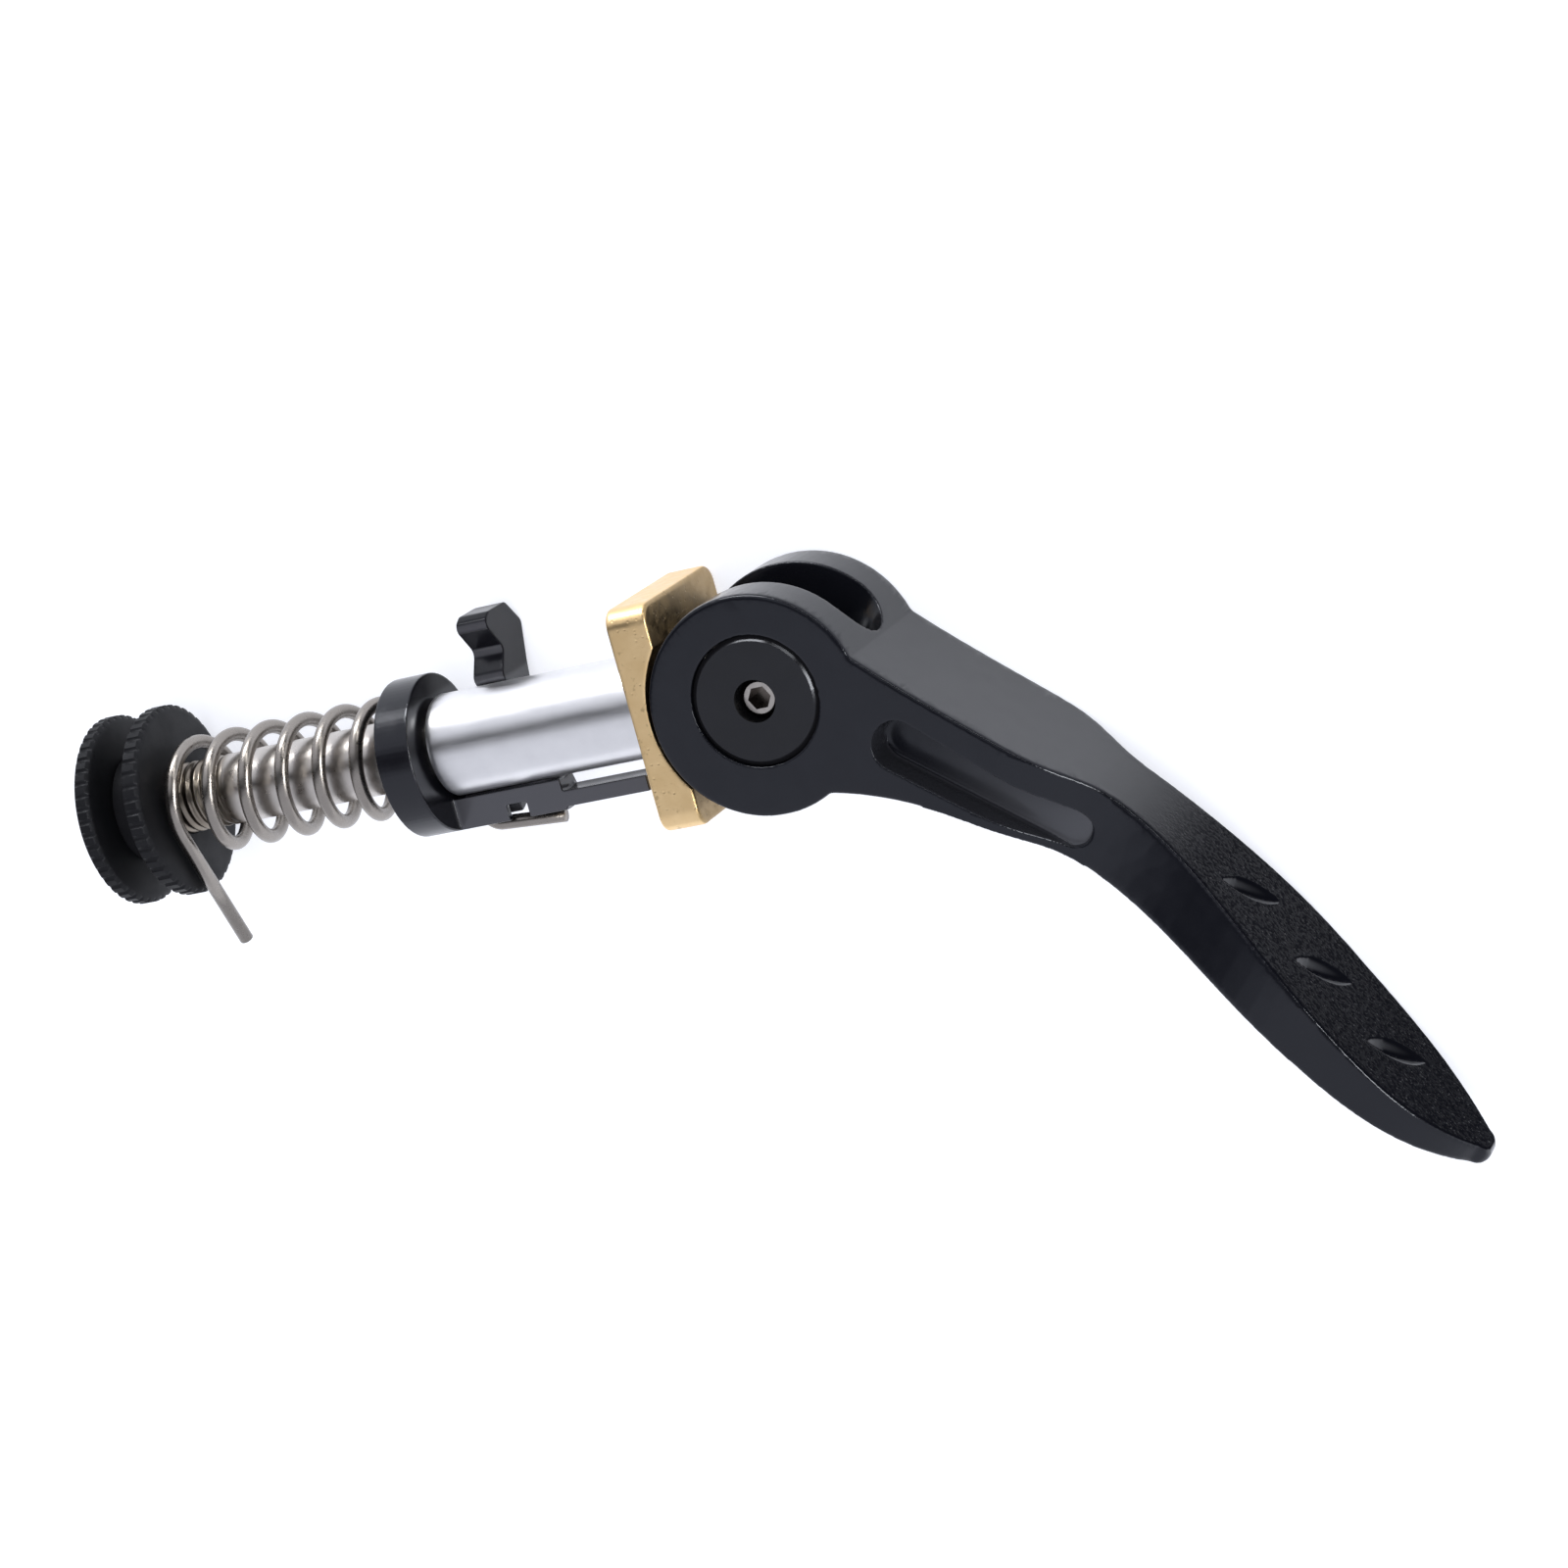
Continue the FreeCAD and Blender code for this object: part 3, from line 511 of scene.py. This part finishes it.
def make_sleeve():
    """A tube with its left rim rounded; each ring is its place along X and its radius."""
    low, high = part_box("sleeve")
    outer = high.z
    ease = 0.35 * MM
    rings = [
        (low.x, BORE_RADIUS), (low.x, outer - ease), (low.x + 0.3 * ease, outer - 0.3 * ease),
        (low.x + ease, outer), (low.x + 2 * ease, outer), (high.x - ease, outer), (high.x, outer),
        (high.x, BORE_RADIUS),
    ]
    mesh = ring_mesh("tube", rings, count=128, radius_at=lambda ring, angle: ring[1])
    add_object("tube", mesh, "bare_alloy", "saddle_unit", "sleeve")


def make_spindle():
    """The rod, closed by a core as thin as a hair.

    Each ring is its place along X, its radius and the share of the thread's depth there.
    """
    low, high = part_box("spindle")
    radius = high.z
    core = 0.02 * MM
    pitch = 1.0 * MM
    depth = 0.28 * MM
    ease = 0.6 * MM
    rows = int((THREAD_END - low.x) / pitch * 10)
    rings = [(low.x, core, 0.0), (low.x, radius - ease, 0.0)]
    for row in range(rows + 1):
        x = low.x + ease + (THREAD_END - low.x - ease) * row / rows
        rings.append((x, radius, min(1.0, (THREAD_END - x) / (2 * pitch))))
    rings += [(THREAD_END + 0.2 * pitch, radius, 0.0), (high.x - ease, radius, 0.0)]
    rings += [(high.x, radius - ease, 0.0), (high.x, core, 0.0)]

    def radius_at(ring, angle):
        phase = (ring[0] / pitch - angle / (2 * math.pi)) % 1.0
        flank = min(1.0, max(0.0, abs(2 * phase - 1) * 1.5 - 0.25))
        return ring[1] - depth * ring[2] * flank

    mesh = ring_mesh("rod", rings, count=72, radius_at=radius_at)
    add_object("rod", mesh, "spindle_steel", "spindle_unit", "spindle")


def make_nut(name, node, body, rim_width=None):
    """A disc with a knurled rim and, where the rim is narrower than the nut, a boss at its left.

    Each ring is its place along X, its radius and the share of the knurl's depth there.
    """
    low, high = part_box(node)
    rim_left = high.x - rim_width if rim_width else low.x
    outer = high.y
    boss = 5.3 * MM
    ease = 0.35 * MM
    teeth = 46
    groove = 0.2 * MM
    rings = [
        (high.x, BORE_RADIUS, 0.0), (high.x, outer - 2.2 * ease, 0.0),
        (high.x - 0.15 * ease, outer - 1.6 * ease, 0.0), (high.x - 0.3 * ease, outer - ease, 0.0),
        (high.x - ease, outer, 1.0), (rim_left + ease, outer, 1.0),
        (rim_left + 0.3 * ease, outer - ease, 0.0), (rim_left, outer - 2.2 * ease, 0.0),
    ]
    if rim_width:
        rings += [(rim_left, boss, 0.0), (low.x + 0.2 * ease, boss, 0.0), (low.x, boss - ease, 0.0)]
    rings.append((low.x, BORE_RADIUS, 0.0))

    def radius_at(ring, angle):
        phase = angle * teeth / (2 * math.pi) % 1.0
        cut = min(1.0, max(0.0, 1.6 - abs(phase - 0.5) * 6.5))
        return ring[1] - groove * ring[2] * cut

    mesh = ring_mesh(name, rings, count=12 * teeth, radius_at=radius_at)
    add_object(name, mesh, "nut_black", body, node)


def make_spring():
    """The torsion spring: a smooth-shaded copy of its node, attached to no body."""
    mesh = welded_copy("torsion_spring")
    mesh.shade_smooth()
    mesh.set_sharp_from_angle(angle=math.radians(50))
    piece = add_object("spring", mesh, "spring_steel", None)
    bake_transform(piece)
    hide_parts("torsion_spring")


def dress_node(node, slot):
    for place in NODES[node].material_slots:
        place.material = MATERIALS[slot]


# Studio
def make_floor():
    """A pale floor that glows a little, so that the shadows on it stay faint."""
    low, _ = CAD_BOX
    reach = 3.0
    mesh = bpy.data.meshes.new("floor")
    corners = [(-reach, -reach, low.z), (reach, -reach, low.z), (reach, reach, low.z), (-reach, reach, low.z)]
    mesh.from_pydata(corners, [], [(0, 1, 2, 3)])
    finish = Finish("floor_white", Roughness=0.7, Base_Color=(0.43, 0.44, 0.465), Specular_IOR_Level=0.0,
                    Emission_Color=(0.87, 0.885, 0.94), Emission_Strength=0.78)
    mesh.materials.append(finish.material)
    floor = bpy.data.objects.new("floor", mesh)
    SCENE.collection.objects.link(floor)


def make_world():
    """White studio with a dim strip overhead along the spindle and a dim corner at the back right."""
    world = bpy.data.worlds.new("studio")
    SCENE.world = world
    sky = NodeTree(world)
    direction = sky.coords["Generated"]
    off_strip = sky.math("ABSOLUTE", sky.along(direction, (0.0, 0.98, -0.199)))
    strip = sky.spread(off_strip, 0.09, 0.35, 0.03, 0.95)
    corner = sky.spread(sky.along(direction, (0.56, 0.72, 0.41)), 0.82, 0.93, 1.0, 0.12)
    white = sky.add("Background", Color=(0.86, 0.88, 0.965), Strength=sky.product(strip, corner))
    sky.add("OutputWorld", Surface=white.outputs["Background"])


def make_light(name, place, wide, high, power, glossy=True, diffuse=True):
    """A rectangular lamp that faces the origin."""
    data = bpy.data.lights.new(name, "AREA")
    data.shape = "RECTANGLE"
    data.size = wide
    data.size_y = high
    data.energy = power
    lamp = bpy.data.objects.new(name, data)
    lamp.location = place
    lamp.rotation_mode = "QUATERNION"
    lamp.rotation_quaternion = (-Vector(place)).to_track_quat("-Z", "Y")
    lamp.visible_glossy = glossy
    lamp.visible_diffuse = diffuse
    SCENE.collection.objects.link(lamp)


def make_camera():
    """The photograph's viewpoint; the heading is the floor's direction that runs up the picture."""
    data = bpy.data.cameras.new("camera")
    data.sensor_width = 36.0
    data.lens = 101.25
    data.clip_start = 0.01
    data.clip_end = 20.0
    camera = bpy.data.objects.new("camera", data)
    place = Vector((169.166, 66.385, 376.678)) * MM
    target = Vector((9.349, -10.039, 0)) * MM
    heading = math.radians(73.981)
    back = (place - target).normalized()
    right = Vector((math.cos(heading), math.sin(heading), 0)).cross(back).normalized()
    up = back.cross(right)
    camera.matrix_world = Matrix.Translation(place) @ Matrix((right, up, back)).transposed().to_4x4()
    SCENE.collection.objects.link(camera)
    SCENE.camera = camera


def main():
    make_lever()
    make_saddle()
    make_catch()
    make_sleeve()
    make_spindle()
    make_nut("adjusting_disc", "adjusting_nut", "adjusting_unit", rim_width=2 * MM)
    make_nut("lock_disc", "lock_nut", "lock_unit")
    make_spring()
    dress_node("pivot_barrel", "barrel_black")
    dress_node("set_screw", "screw_steel")
    make_floor()
    make_world()
    make_light("overhead", (0.1, 0.1, 0.9), wide=0.9, high=0.9, power=8.0, glossy=False)
    make_light("right_window", (0.77, 0.02, 0.35), wide=0.4, high=0.2, power=5.0, diffuse=False)
    make_light("back_window", (-0.14, 0.81, 0.21), wide=0.5, high=0.2, power=6.0, diffuse=False)
    make_light("corner_lamp", (0.49, 0.67, 0.36), wide=0.45, high=0.07, power=1.2, diffuse=False)
    make_camera()
    SCENE.view_settings.view_transform = "Standard"


main()
